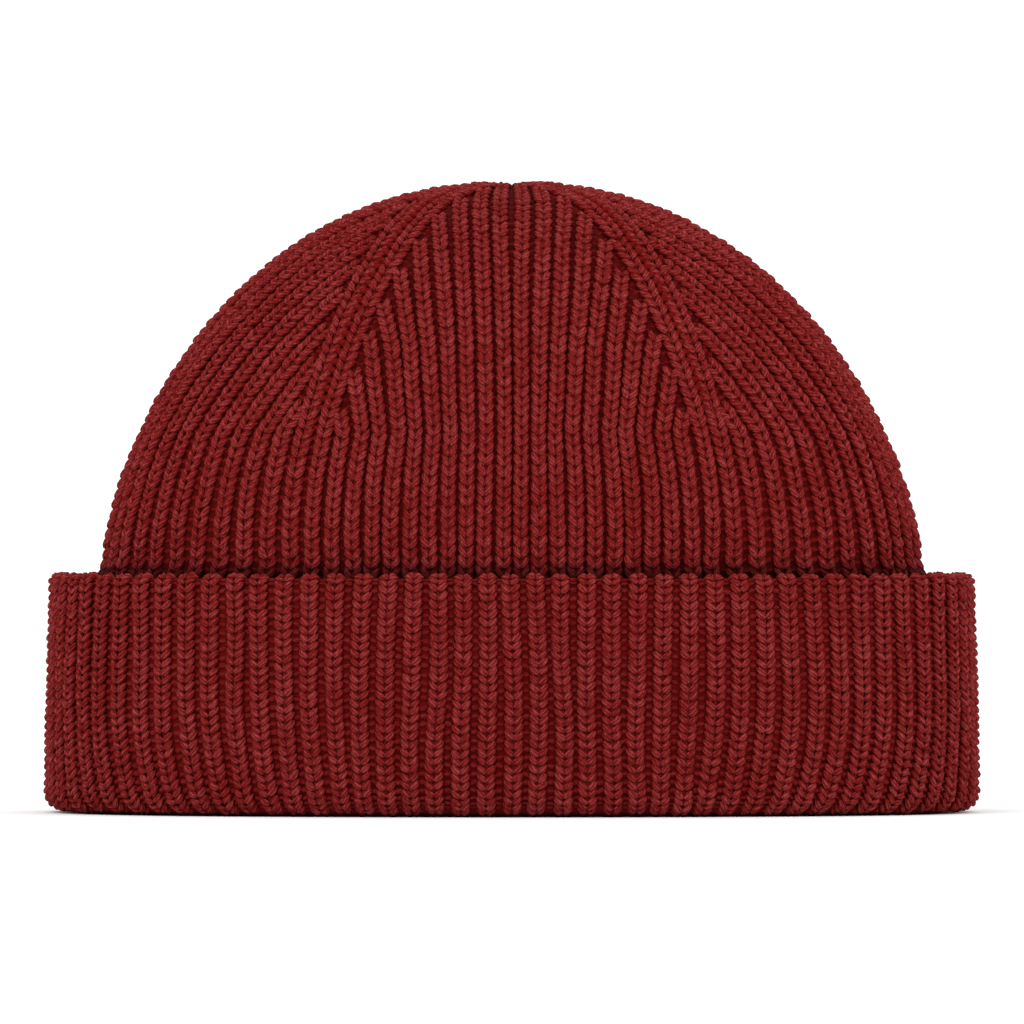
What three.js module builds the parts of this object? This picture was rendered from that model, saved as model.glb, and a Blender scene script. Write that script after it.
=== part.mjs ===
// A rib-knit fisherman beanie that stands open on its turned-up cuff.
// Millimetres, +Z up. The front faces -Y, and the origin is the middle of the footprint.

import * as THREE from 'three';
import { mergeVertices } from 'three/addons/utils/BufferGeometryUtils.js';

// Cuff, measured outside over the rib crests.
const cuffWidth = 234;
const cuffDepth = 150;
const cuffHeight = 60;
const cuffTopInset = 1.2; // how far its upper edge leans in
const cuffCornerRadius = 4.5; // at the bottom turn
const cuffEdgeRadius = 2.6; // at the upper edge

// Knit.
const knitThickness = 4.8; // rib crest to the inner face
const ribDepth = 1.5; // rib crest to furrow
const mitreDepth = 1.9; // rib crest to the groove of a mitre
const panelRibs = { front: 22, side: 24 }; // the back repeats the front

// Crown.
const capHeight = 158;
const domeStartRise = 3.5; // straight knit that shows above the cuff before the dome bends in
const sideStandOff = 9.5; // air between cuff and crown at the cuff's edge, at the sides
const frontStandOff = 3.6; // the same at the front and back
const turnGap = 2.8; // air between both layers just above the bottom turn
const seatClearance = 0.3; // between the crown's lower edge and the turn that it stands in

// Shape of the curves.
const ovalFullness = 2.3; // 2 is an ellipse, more is squarer
const domeWidthPower = 0.884;
const domeDepthPower = 0.74; // fuller than the width, so the top is rounder than the base
const domeHeightPower = 1.316;
const frontSpread = 0.06; // front ribs lie closer in the middle of their panel
const sideSpread = -0.08; // side ribs lie wider there
const rulerSteps = 720; // chords that measure an oval's girth
const normalStep = 0.004; // share of a turn, and radians, over which the dome's slope is taken

const crownHalfWidth = cuffWidth / 2 - knitThickness - sideStandOff;
const crownHalfDepth = cuffDepth / 2 - knitThickness - frontStandOff;
const turnHalfWidth = cuffWidth / 2 - knitThickness - turnGap;
const turnHalfDepth = cuffDepth / 2 - knitThickness - turnGap;
const crownFoot = knitThickness + seatClearance;
const domeStart = cuffHeight + domeStartRise;
const ribCount = 2 * (panelRibs.front + panelRibs.side);

// Wall of the crown inside the cuff, from its lower edge: climb is a share of the height to the
// dome, flare the share of the way out to the turn.
const wallLevels = [
  { climb: 0, flare: 1 },
  { climb: 0.5, flare: 0.85 },
  { climb: 0.82, flare: 0.4 },
];

// Levels of the dome. turn is a share of the quarter circle from upright wall to flat top, mitre
// the share of the way round from the front middle to the groove between two panels, and front
// and side are the shares of each panel's ribs that have not yet run out into a mitre.
const domeLevels = [
  { turn: 0, mitre: 0.0955, front: 1, side: 1 },
  { turn: 0.1, mitre: 0.097, front: 1, side: 1 },
  { turn: 0.2, mitre: 0.0985, front: 1, side: 1 },
  { turn: 0.286, mitre: 0.099, front: 1, side: 1 },
  { turn: 0.363, mitre: 0.099, front: 0.91, side: 0.93 },
  { turn: 0.442, mitre: 0.0992, front: 0.82, side: 0.85 },
  { turn: 0.505, mitre: 0.0998, front: 0.73, side: 0.77 },
  { turn: 0.573, mitre: 0.1008, front: 0.64, side: 0.69 },
  { turn: 0.629, mitre: 0.102, front: 0.57, side: 0.62 },
  { turn: 0.692, mitre: 0.105, front: 0.5, side: 0.54 },
  { turn: 0.755, mitre: 0.111, front: 0.43, side: 0.46 },
  { turn: 0.819, mitre: 0.119, front: 0.36, side: 0.375 },
  { turn: 0.886, mitre: 0.122, front: 0.27, side: 0.27 },
  { turn: 0.95, mitre: 0.124, front: 0.18, side: 0.17 },
  { turn: 1, mitre: 0.125, front: 0.14, side: 0.125 },
];

const knitMaterial = { roughness: 0.95, metalness: 0 };
const crownColour = 0x7a2320;
const cuffColour = 0x76201e;

// A point of an oval round the Z axis. The angle runs from the front middle towards +X.
function ovalPoint(halfWidth, halfDepth, angle) {
  const across = Math.sin(angle);
  const along = Math.cos(angle);
  const power = 2 / ovalFullness;
  const x = halfWidth * Math.sign(across) * Math.abs(across) ** power;
  const y = -halfDepth * Math.sign(along) * Math.abs(along) ** power;
  return new THREE.Vector2(x, y);
}

// The outward direction of that oval in plan.
function ovalNormal(halfWidth, halfDepth, angle) {
  const point = ovalPoint(halfWidth, halfDepth, angle);
  const power = ovalFullness - 1;
  const x = (Math.sign(point.x) * Math.abs(point.x / halfWidth) ** power) / halfWidth;
  const y = (Math.sign(point.y) * Math.abs(point.y / halfDepth) ** power) / halfDepth;
  return new THREE.Vector2(x, y).normalize();
}

// Turns a share of an oval's girth, from the front middle, into its angle.
function ovalRuler(halfWidth, halfDepth) {
  const lengths = [0];
  let last = ovalPoint(halfWidth, halfDepth, 0);
  for (let step = 1; step <= rulerSteps; step += 1) {
    const next = ovalPoint(halfWidth, halfDepth, (2 * Math.PI * step) / rulerSteps);
    lengths.push(lengths[step - 1] + next.distanceTo(last));
    last = next;
  }
  const girth = lengths[rulerSteps];
  return (share) => {
    const turns = Math.floor(share);
    const target = (share - turns) * girth;
    const step = Math.min(
      lengths.findIndex((length) => length > target) - 1,
      rulerSteps - 1,
    );
    const inside = Math.max(step, 0);
    const part = (target - lengths[inside]) / (lengths[inside + 1] - lengths[inside]);
    return 2 * Math.PI * (turns + (inside + part) / rulerSteps);
  };
}

// Rings of points that are joined one after the other into a closed skin. A ring runs from the
// front middle towards +X, and each ring lies further on round the section, which climbs
// outside the knit and comes down inside it.
class RingSkin {
  constructor() {
    this.positions = [];
    this.triangles = [];
    this.rings = [];
  }

  addRing(points) {
    const first = this.positions.length / 3;
    for (const point of points) {
      this.positions.push(point.x, point.y, point.z);
    }
    const ring = points.map((point, index) => first + index);
    if (this.rings.length > 0) {
      this.join(this.rings[this.rings.length - 1], ring);
    }
    this.rings.push(ring);
  }

  // Joins two rings, of which one may have twice the points of the other.
  join(lower, upper) {
    const count = Math.min(lower.length, upper.length);
    const lowerStep = lower.length / count;
    const upperStep = upper.length / count;
    for (let index = 0; index < count; index += 1) {
      const next = (index + 1) % count;
      const a = lower[index * lowerStep];
      const b = lower[next * lowerStep];
      const c = upper[next * upperStep];
      const d = upper[index * upperStep];
      if (lowerStep === 2) {
        const middle = lower[index * lowerStep + 1];
        this.triangles.push(a, middle, d, middle, b, c, middle, c, d);
      } else if (upperStep === 2) {
        const middle = upper[index * upperStep + 1];
        this.triangles.push(a, b, middle, b, c, middle, a, middle, d);
      } else {
        this.triangles.push(a, b, c, a, c, d);
      }
    }
  }

  closeSection() {
    this.join(this.rings[this.rings.length - 1], this.rings[0]);
  }

  // The finished geometry, without the triangles that closed up where ribs run out.
  geometry() {
    const raw = new THREE.BufferGeometry();
    raw.setAttribute('position', new THREE.Float32BufferAttribute(this.positions, 3));
    raw.setIndex(this.triangles);
    const merged = mergeVertices(raw);
    const index = merged.getIndex().array;
    const kept = [];
    for (let start = 0; start < index.length; start += 3) {
      const [a, b, c] = [index[start], index[start + 1], index[start + 2]];
      if (a !== b && b !== c && c !== a) {
        kept.push(a, b, c);
      }
    }
    merged.setIndex(kept);
    merged.computeVertexNormals();
    return merged;
  }
}

// Widens or narrows the ribs of a panel from its middle to its edges, which stay at -1 and 1.
function spreadRibs(position, spread) {
  return position * (1 - spread) + spread * position ** 3;
}

// The lines of one panel at one level: furrow, crest, furrow and so on from its left mitre up to,
// but not with, its right one. The rib next to each mitre runs right through, and the others end
// against it, one by one, as the panel narrows.
function panelLines(ribs, share, middle, halfSpan, spread) {
  const half = ribs / 2;
  const open = Math.round(share * ribs) / 2;
  const lines = [];
  for (let line = -half; line < half; line += 0.5) {
    const distance = Math.abs(line);
    const fromMitre = half - distance;
    const isBorder = fromMitre < 1;
    const reach = isBorder ? Math.max(open - fromMitre, 0) : Math.min(distance, open - 1);
    const runs = isBorder || distance < open - 1;
    const isCrest = runs && Number.isInteger(fromMitre + 0.5);
    const depth = fromMitre === 0 ? mitreDepth : ribDepth;
    const position = spreadRibs((Math.sign(line) * Math.max(reach, 0)) / open, spread);
    lines.push({ share: middle + halfSpan * position, depth: isCrest ? 0 : depth });
  }
  return lines;
}

// All lines round the crown at one level, from the left mitre of the front panel.
function crownLines(level) {
  const sideSpan = 0.25 - level.mitre;
  const front = [panelRibs.front, level.front];
  const side = [panelRibs.side, level.side];
  return [
    ...panelLines(...front, 0, level.mitre, frontSpread),
    ...panelLines(...side, 0.25, sideSpan, sideSpread),
    ...panelLines(...front, 0.5, level.mitre, frontSpread),
    ...panelLines(...side, 0.75, sideSpan, sideSpread),
  ];
}

// A point over the rib crests of the dome.
function domePoint(turn, angle) {
  const bend = (turn * Math.PI) / 2;
  const level = Math.max(Math.cos(bend), 0);
  const halfWidth = crownHalfWidth * level ** domeWidthPower;
  const halfDepth = crownHalfDepth * level ** domeDepthPower;
  const climb = Math.sin(bend) ** domeHeightPower;
  const plan = ovalPoint(halfWidth, halfDepth, angle);
  return new THREE.Vector3(plan.x, plan.y, domeStart + (capHeight - domeStart) * climb);
}

// The outward direction of the dome at that point, straight up at its top.
function domeNormal(turn, angle) {
  if (turn > 1 - normalStep) {
    return new THREE.Vector3(0, 0, 1);
  }
  const below = domePoint(Math.max(turn - normalStep, 0), angle);
  const up = domePoint(turn + normalStep, angle).sub(below);
  const left = domePoint(turn, angle - normalStep);
  const round = domePoint(turn, angle + normalStep).sub(left);
  return round.cross(up).normalize();
}

function wallHalfSizes(level) {
  return [
    THREE.MathUtils.lerp(crownHalfWidth, turnHalfWidth, level.flare),
    THREE.MathUtils.lerp(crownHalfDepth, turnHalfDepth, level.flare),
  ];
}

// One ring of the crown's wall inside the cuff, at a depth under the crests for each line.
function wallRing(level, angles, depths) {
  const [halfWidth, halfDepth] = wallHalfSizes(level);
  const height = THREE.MathUtils.lerp(crownFoot, domeStart, level.climb);
  return angles.map((angle, index) => {
    const normal = ovalNormal(halfWidth, halfDepth, angle);
    const plan = ovalPoint(halfWidth, halfDepth, angle).addScaledVector(normal, -depths[index]);
    return new THREE.Vector3(plan.x, plan.y, height);
  });
}

function domeRing(level, angles, depths) {
  return angles.map((angle, index) =>
    domePoint(level.turn, angle).addScaledVector(domeNormal(level.turn, angle), -depths[index]),
  );
}

// The crown: the dome, and below it the wall that goes down inside the cuff to the turn.
function crownGeometry() {
  const angleAt = ovalRuler(crownHalfWidth, crownHalfDepth);
  const skin = new RingSkin();
  const levels = [
    ...wallLevels.map((level) => ({ ...level, ring: wallRing, lines: crownLines(domeLevels[0]) })),
    ...domeLevels.map((level) => ({ ...level, ring: domeRing, lines: crownLines(level) })),
  ];
  for (const level of [...levels].reverse()) {
    const furrows = level.lines.filter((line, index) => index % 2 === 0);
    const angles = furrows.map((line) => angleAt(line.share));
    skin.addRing(level.ring(level, angles, angles.map(() => knitThickness)));
  }
  for (const level of levels) {
    const angles = level.lines.map((line) => angleAt(line.share));
    const isTop = level.turn === 1;
    skin.addRing(level.ring(level, angles, level.lines.map((line) => (isTop ? 0 : line.depth))));
  }
  return skin.geometry();
}

// The section of the cuff, its points at shares of the sizes that they follow. inset goes in from
// the outermost crests, and the ribbed points carry the crests and furrows. It starts on the flat
// foot, climbs the outer layer, comes down behind it and crosses the floor of the turn, on which
// the crown stands.
function cuffSection() {
  const seatOuter = knitThickness + turnGap;
  const seatInner = seatOuter + knitThickness;
  const corner = cuffCornerRadius;
  const edge = cuffEdgeRadius;
  const edgeMiddle = cuffTopInset + knitThickness / 2;
  return [
    { inset: corner * 0.9, height: 0, ribbed: true },
    { inset: corner * 0.3, height: corner * 0.3, ribbed: true },
    { inset: corner * 0.03, height: corner, ribbed: true },
    { inset: cuffTopInset * 0.02, height: cuffHeight * 0.25, ribbed: true },
    { inset: cuffTopInset * 0.3, height: cuffHeight * 0.6, ribbed: true },
    { inset: cuffTopInset * 0.8, height: cuffHeight - edge * 1.6, ribbed: true },
    { inset: cuffTopInset + edge * 0.25, height: cuffHeight - edge * 0.5, ribbed: true },
    { inset: edgeMiddle, height: cuffHeight, ribbed: true },
    { inset: cuffTopInset + knitThickness, height: cuffHeight - edge * 0.7, ribbed: false },
    { inset: cuffTopInset + knitThickness, height: cuffHeight - edge * 2, ribbed: false },
    { inset: knitThickness, height: cuffHeight * 0.3, ribbed: false },
    { inset: knitThickness, height: knitThickness * 1.6, ribbed: false },
    { inset: seatOuter, height: knitThickness, ribbed: false },
    { inset: seatInner, height: knitThickness, ribbed: false },
    { inset: seatInner + knitThickness * 0.1, height: knitThickness * 0.5, ribbed: false },
    { inset: seatInner - knitThickness * 0.15, height: 0, ribbed: false },
  ];
}

// One ring of the cuff. The furrows go in from the outer face and down from the upper edge.
function cuffRing(point, angles) {
  const halfWidth = cuffWidth / 2;
  const halfDepth = cuffDepth / 2;
  const isEdge = point.ribbed && point.height === cuffHeight;
  return angles.map((angle, index) => {
    const depth = point.ribbed && index % 2 === 0 ? ribDepth : 0;
    const inset = point.inset + (isEdge ? 0 : depth);
    const normal = ovalNormal(halfWidth, halfDepth, angle);
    const plan = ovalPoint(halfWidth, halfDepth, angle).addScaledVector(normal, -inset);
    return new THREE.Vector3(plan.x, plan.y, point.height - (isEdge ? depth : 0));
  });
}

// The cuff: the bottom turn and the outer layer that stands round the crown.
function cuffGeometry() {
  const angleAt = ovalRuler(cuffWidth / 2, cuffDepth / 2);
  const fine = Array.from({ length: 2 * ribCount }, (unused, line) =>
    angleAt((line - 1) / (2 * ribCount)),
  );
  const coarse = fine.filter((angle, index) => index % 2 === 0);
  const skin = new RingSkin();
  for (const point of cuffSection()) {
    skin.addRing(cuffRing(point, point.ribbed ? fine : coarse));
  }
  skin.closeSection();
  return skin.geometry();
}

function knitMesh(name, geometry, colour) {
  const material = new THREE.MeshStandardMaterial({ ...knitMaterial, color: colour });
  const mesh = new THREE.Mesh(geometry, material);
  mesh.name = name;
  return mesh;
}

const group = new THREE.Group();
group.add(knitMesh('crown', crownGeometry(), crownColour));
group.add(knitMesh('cuff', cuffGeometry(), cuffColour));

export default group;
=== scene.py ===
import math

import bpy
import numpy as np
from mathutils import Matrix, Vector


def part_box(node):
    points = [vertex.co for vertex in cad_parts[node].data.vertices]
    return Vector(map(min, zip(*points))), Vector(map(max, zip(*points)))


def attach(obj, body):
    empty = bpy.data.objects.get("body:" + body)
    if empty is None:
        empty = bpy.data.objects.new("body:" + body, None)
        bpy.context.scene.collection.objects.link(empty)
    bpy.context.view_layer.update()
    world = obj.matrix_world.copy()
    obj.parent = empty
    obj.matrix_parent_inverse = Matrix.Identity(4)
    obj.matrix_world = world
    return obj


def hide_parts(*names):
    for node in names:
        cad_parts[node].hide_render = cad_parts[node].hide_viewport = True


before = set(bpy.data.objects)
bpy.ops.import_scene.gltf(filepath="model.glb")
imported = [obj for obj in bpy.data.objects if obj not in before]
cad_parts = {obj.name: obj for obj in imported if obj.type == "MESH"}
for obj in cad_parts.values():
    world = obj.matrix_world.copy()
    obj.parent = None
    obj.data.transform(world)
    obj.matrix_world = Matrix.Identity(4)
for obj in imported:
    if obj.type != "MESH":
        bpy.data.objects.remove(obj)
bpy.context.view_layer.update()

# Everything is in metres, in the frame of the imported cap: +Z up, the front faces -Y.
MM = 0.001
SEED = 7

# Sizes of the cap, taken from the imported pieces.
_, cuff_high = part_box("cuff")
crown_low, crown_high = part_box("crown")
CUFF_HALF_WIDTH = cuff_high.x
CUFF_HALF_DEPTH = cuff_high.y
CUFF_HEIGHT = cuff_high.z
TURN_HALF_WIDTH = crown_high.x
TURN_HALF_DEPTH = crown_high.y
CROWN_FOOT = crown_low.z
CAP_HEIGHT = crown_high.z

# Thickness of the knit, the gap between the crown and the cuff at the sides and in front, and how
# far over the cuff the dome starts.
KNIT_THICKNESS = 4.8 * MM
SIDE_GAP = 9.5 * MM
FRONT_GAP = 3.6 * MM
DOME_OVER_CUFF = 3.5 * MM
CROWN_HALF_WIDTH = CUFF_HALF_WIDTH - KNIT_THICKNESS - SIDE_GAP
CROWN_HALF_DEPTH = CUFF_HALF_DEPTH - KNIT_THICKNESS - FRONT_GAP
DOME_START = CUFF_HEIGHT + DOME_OVER_CUFF

# Curves of the cap.
OVAL_FULLNESS = 2.3
DOME_WIDTH_POWER = 0.884
DOME_DEPTH_POWER = 0.74
DOME_HEIGHT_POWER = 1.316
DOME_TOP = 0.998

# Ribs round the cap. The back repeats the front. A spread above 0 sets the ribs closer in the
# middle of a panel, and on the cuff closer in front and behind.
FRONT_RIBS = 22
SIDE_RIBS = 24
RIB_COUNT = 2 * (FRONT_RIBS + SIDE_RIBS)
FRONT_SPREAD = 0.06
SIDE_SPREAD = -0.08
CUFF_SPREAD = 0.09

# Height of a stitch, and how wide a rib stands in its pitch.
CROWN_ROW = 2.6 * MM
CUFF_ROW = 2.06 * MM
CROWN_RIB_SHARE = {"front": 0.87, "side": 0.93}
CUFF_RIB_SHARE = 0.90
WIDEST_RIB = {"front": 4.2 * MM, "side": 4.9 * MM}
BORDER_RIB_SHARE = 0.95

# The yarn's measure, in which the thickness and the lift of a leg are given: this share of half a
# rib's width, but at most this many stitch heights.
YARN_TO_HALF = 1.3
THICKEST = 1.12

# How far the ground fabric, the core behind a rib's stitches and the furrow loops lie under the
# rib crests. The core is CORE_HEIGHT thick each way and CORE_SHARE of the rib wide. Its ends thin
# out to CORE_TIP of that, the sooner the higher CORE_TAPER is.
CROWN_GROUND_DEPTH = 2.1 * MM
CUFF_GROUND_DEPTH = 2.2 * MM
CROWN_CORE_DEPTH = 1.95 * MM
CUFF_CORE_DEPTH = 1.75 * MM
CORE_HEIGHT = 0.6 * MM
CORE_SHARE = 0.5
CORE_TAPER = 8
CORE_TIP = 0.05
CROWN_LOOP_DEPTH = {"front": 2.6 * MM, "side": 2.4 * MM}
MITRE_LOOP_DEPTH = 1.2 * MM
CUFF_LOOP_DEPTH = 1.85 * MM
CROWN_LOOP_SHARE = 0.60
CUFF_LOOP_SHARE = 0.50

# How far a rib falls away at its sides, in half rib widths, and the depth under the crests by which
# the yarn's painted shade in the recesses is measured.
ROUNDING = 0.58
DEEPEST = 2.7 * MM

# Where a row of stitches starts on its path, the room over its last stitch in stitch heights, and
# how far its stitches are sunk under the crest.
CROWN_FIRST_ROW = 0.4 * CROWN_ROW
CUFF_FIRST_ROW = 0.0
LAST_ROOM = 0.6
STITCH_SINK = 0.4

# Levels of the dome: turn is the share of the quarter circle from upright to flat, mitre the
# share of the way round from the front middle to the groove between two panels, and front and
# side are the shares of each panel's ribs that haven't run out yet.
DOME_LEVELS = {
    "turn": [0, 0.1, 0.2, 0.286, 0.363, 0.442, 0.505, 0.573, 0.629, 0.692, 0.755, 0.819, 0.886, 0.95, 1],
    "mitre": [0.0955, 0.097, 0.0985, 0.099, 0.099, 0.0992, 0.0998, 0.1008, 0.102, 0.105, 0.111, 0.119,
              0.122, 0.124, 0.125],
    "front": [1, 1, 1, 1, 0.91, 0.82, 0.73, 0.64, 0.57, 0.5, 0.43, 0.36, 0.27, 0.18, 0.14],
    "side": [1, 1, 1, 1, 0.93, 0.85, 0.77, 0.69, 0.62, 0.54, 0.46, 0.375, 0.27, 0.17, 0.125],
}

# The wall inside the cuff: climb is the share of its height, from the crown's foot to the dome's
# start, and flare the share of the way out to the turn.
WALL_LEVELS = {
    "climb": [0, 0.5, 0.82, 1],
    "flare": [1, 0.85, 0.4, 0],
}

# One leg of a stitch, from its foot in the middle of the rib to its head at the rib's side: across
# is in half rib widths, along in stitch heights, lift and radius in the yarn's measure, and girth
# is a share of the radius. twist is how far the plies wind, and half_to_row is half a rib's width
# in stitch heights, for the slope. The crown's legs stand steeper than the cuff's.
CROWN_LEG = {
    "across": [0.05, 0.20, 0.41, 0.57, 0.65, 0.67],
    "along": [-0.52, -0.30, 0.02, 0.40, 0.84, 1.26],
    "lift": [-0.42, -0.08, 0.01, 0.01, -0.08, -0.42],
    "girth": [0, 0.95, 1.04, 1.04, 0.90, 0],
    "radius": 0.335,
    "twist": 1.5,
    "half_to_row": 0.70,
}
CUFF_LEG = {
    "across": [0.05, 0.17, 0.36, 0.51, 0.58, 0.58],
    "along": [-0.54, -0.28, 0.06, 0.40, 0.74, 1.02],
    "lift": [-0.42, -0.08, 0.02, 0.01, -0.09, -0.38],
    "girth": [0, 0.98, 1.10, 1.04, 0.87, 0],
    "radius": 0.41,
    "twist": 0.7,
    "half_to_row": 1.0,
}
LEG_SIDES = 5
LEG_RINGS = 5
LOOP_SIDES = 5
LOOP_RINGS = 3
CORE_SIDES = 4
CORE_RINGS = 32

# A furrow loop: how blunt its ends are, and its girth and the dip of its ends in stitch heights.
LOOP_BLUNTNESS = 0.6
LOOP_GIRTH = 0.40
LOOP_DIP = 0.40

# How many places an oval, the crown's wall, its dome and the cuff's section are sampled at, and
# how many points the cuff's section has on its bottom turn, its face and its upper edge.
OVAL_SAMPLES = 2881
WALL_SAMPLES = 40
DOME_SAMPLES = 260
CUFF_SAMPLES = 240
TURN_POINTS = 9
FACE_POINTS = 24
EDGE_POINTS = 15

# The length below which a direction isn't scaled up, and what keeps a sphere's poles off its axis.
SHORTEST = 1e-12
POLE_NUDGE = 1e-9

# The cuff's face leans in by this much towards its upper edge.
FACE_LEAN = 1.2 * MM

# Where ribs run out: the level of the dome where the first ones near the mitres narrow, how soon
# the ribs beside the mitres have their new width, how far in ribs an ending rib runs in under the
# rib beside the mitre, and how deep and over what length its last stitches sink there.
RUN_OUT_STARTS = 0.24
RUN_OUT_SETTLES = 0.14
RUN_OUT = 0.25
TUCK = 1.2 * MM
TUCK_LENGTH = 7 * MM

# Ribs and furrows nearer to the mitre than this, counted in ribs, go on to the top beside it.
BORDER_RIB = 1
BORDER_FURROW = 1.5

# Level of the crown's wall below which the cuff hides its face.
LOWEST_SHOWN = -0.22

# Unevenness, as standard deviations. Places along a rib and lifts of stitches are in stitch
# heights, girths and widths are shares.
SEAT_STRAY = 0.035
GIRTH_STRAY = 0.04
NUDGE_STRAY = 0.04
LIFT_STRAY = 0.05
LOOP_SEAT_STRAY = 0.05
LOOP_TILT_STRAY = 0.14
LOOP_LIFT_STRAY = 0.08 * MM
CROWN_WIDTH_STRAY = 0.03
CUFF_WIDTH_STRAY = 0.02

# How far a rib strays in and out and aside, over waves that get smaller as they get shorter.
RIB_SWAY = 0.10 * MM
RIB_WANDER = 0.16 * MM
WAVE_FALL = [1, 1.6, 2.4]
WAVE_PACE = 0.8

# The lean of the cuff's ribs near the turn: the share of the cuff's height below which it begins,
# and how far it goes, as a share of the girth. A slow drift comes on top, as a share of the girth
# too, with its turn in radians over the cuff's height and round the cuff.
LEAN_HEIGHT = 0.55
LEAN = 0.016
SLOW_DRIFT = 0.0006
DRIFT_CLIMB = 4
DRIFT_ROUND = 9
DRIFT_STRAY = 0.3

# The ground skins: height of the ribs on their inner face, the share of the dome over which these
# fade out at the top, the grids that they are made from, and the gap at which vertices merge.
INNER_RELIEF = 0.8 * MM
INNER_FADE = 0.25
GROUND_COLUMNS = 4 * RIB_COUNT
INNER_DOME_ROWS = 24
OUTER_DOME_ROWS = 28
WALL_ROWS = 10
CUFF_GROUND_ROWS = 50
MERGE_GAP = 0.02 * MM

# Colours of the yarn and the ground skins, and their places on the colour ramps. The palest yarn
# tone is partly the fibres' own paler tone and partly a painted sheen on them. The deep yarn colour
# is painted shade in the recesses: the yarn takes it on the deeper it lies under the crests, between
# the two depth stops. The ground skins' colours are the yarn's red darkened as painted shade in the
# furrows, darker on the crown than on the cuff.
YARN_RECESS_SHADE = (0.128, 0.0028, 0.0020)
YARN_DARK = (0.118, 0.0026, 0.0020)
YARN_MIDDLE = (0.168, 0.0100, 0.0090)
YARN_PALE_AND_SHEEN = (0.280, 0.0390, 0.0390)
YARN_STOPS = [(0.36, YARN_DARK), (0.62, YARN_MIDDLE), (0.88, YARN_PALE_AND_SHEEN)]
RECESS_SHADE_STOPS = [(0.15, (0, 0, 0)), (0.75, (1, 1, 1))]
CROWN_FABRIC_SHADED = [(0.2, (0.040, 0.0013, 0.0010)), (0.75, (0.070, 0.0018, 0.0014))]
CUFF_FABRIC_SHADED = [(0.2, (0.085, 0.0022, 0.0016)), (0.75, (0.130, 0.0030, 0.0022))]

# The radians that Blender's wave texture goes through in a length of 1 at scale 1.
WAVE_RADIANS = 20

# The yarn's patterns, and the share of each in its tone. COPY_SHIFT is how far at most they are
# moved from copy to copy. TONE_SHIFT takes off the mean of the stitches' own tones, and
# PATTERN_SHIFT takes the sum down to the range of the colours.
COPY_SHIFT = 7
PLIES_STRETCH = {"Scale": (3.77, 1.4, 1)}
PLIES = {"Scale": 1.0, "Distortion": 2.2, "Detail": 2.0, "Detail Scale": 2.0}
FIBRES_STRETCH = {"Rotation": (0, 0, 0.55), "Scale": (6, 1.2, 1)}
FIBRES = {"Scale": 2.4, "Detail": 4.0, "Roughness": 0.65}
PATCHES = {"Scale": 55.0, "Detail": 2.0, "Roughness": 0.5}
MOTTLE = {"Scale": 2200.0, "Detail": 2.0, "Roughness": 0.5}
TONE_SHARE = 0.14
TONE_SHIFT = -0.07
FIBRES_SHARE = 1.50
PLIES_SHARE = 0.24
PATCHES_SHARE = 0.18
MOTTLE_SHARE = 0.46
PATTERN_SHIFT = 0.55
PLIES_RELIEF = 0.8

# The patterns of the ground skins: rows of loops, fibres and patches, and the share of each.
PURL_ROWS = {"Scale": 2 * math.pi / WAVE_RADIANS / CROWN_ROW, "Distortion": 1.5, "Detail": 1.0}
PURL_FIBRES = {"Scale": 1400.0, "Detail": 3.0, "Roughness": 0.6}
PURL_PATCHES = {"Scale": 40.0, "Detail": 2.0, "Roughness": 0.5}
PURL_ROWS_SHARE = 0.4
PURL_FIBRES_SHARE = 0.5
PURL_PATCHES_SHARE = 0.1

# Relief and finish of the surfaces.
BUMP_STRENGTH = 0.8
YARN_BUMP = 0.22 * MM
GROUND_BUMP = 0.5 * MM
MATT = 0.9
YARN_SHINE = 0.06
GROUND_SHINE = 0.05
FLOOR_SHINE = 0.1

# The shade in the gap over the cuff's edge: how high it reaches up the crown, and the light at
# shares of its way up.
SHADE_HEIGHT = 4.0 * MM
SHADE = 0.66
SHADE_STOPS = [(0, (1 - SHADE,) * 3), (0.45, (0.75,) * 3), (1, (1, 1, 1))]

# The floor and the lights of the studio.
FLOOR_SIZE = 14
FLOOR_COLOUR = (0.86, 0.86, 0.86, 1)
AIR_COLOUR = (1, 1, 1, 1)
AIR_STRENGTH = 1.25
LIGHT_AIM = (0, 0, 0.08)
LIGHTS = [
    {"name": "softbox_front", "place": (-0.7, -1.5, 1.9), "size": 1.4, "power": 16},
    {"name": "softbox_right", "place": (1.6, -0.9, 1.2), "size": 1.2, "power": 5},
    {"name": "softbox_back", "place": (0.5, 1.7, 1.7), "size": 1.4, "power": 8},
]

# The photo looks straight at the front from afar: its frame is 1024 pixels across, the cap spans
# 936 of them, and the middle of the frame lies 300 pixels over the floor line.
FRAME_PIXELS = 1024
CAP_PIXELS = 936
FLOOR_TO_MIDDLE_PIXELS = 300
CAMERA_DISTANCE = 4.0
SENSOR = 36.0
NEAREST_SEEN = 0.1
FARTHEST_SEEN = 40

random = np.random.default_rng(SEED)


def oval_point(half_width, half_depth, angle):
    """A point of an oval round the Z axis. The angle runs from the front middle towards +X."""
    across = np.sin(angle)
    along = np.cos(angle)
    power = 2 / OVAL_FULLNESS
    x = half_width * np.sign(across) * np.abs(across) ** power
    y = -half_depth * np.sign(along) * np.abs(along) ** power
    return x, y


def oval_normal(half_width, half_depth, angle):
    """The outward direction of that oval in plan."""
    x, y = oval_point(half_width, half_depth, angle)
    power = OVAL_FULLNESS - 1
    normal_x = np.sign(x) * np.abs(x / half_width) ** power / half_width
    normal_y = np.sign(y) * np.abs(y / half_depth) ** power / half_depth
    length = np.hypot(normal_x, normal_y)
    return normal_x / length, normal_y / length


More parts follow.
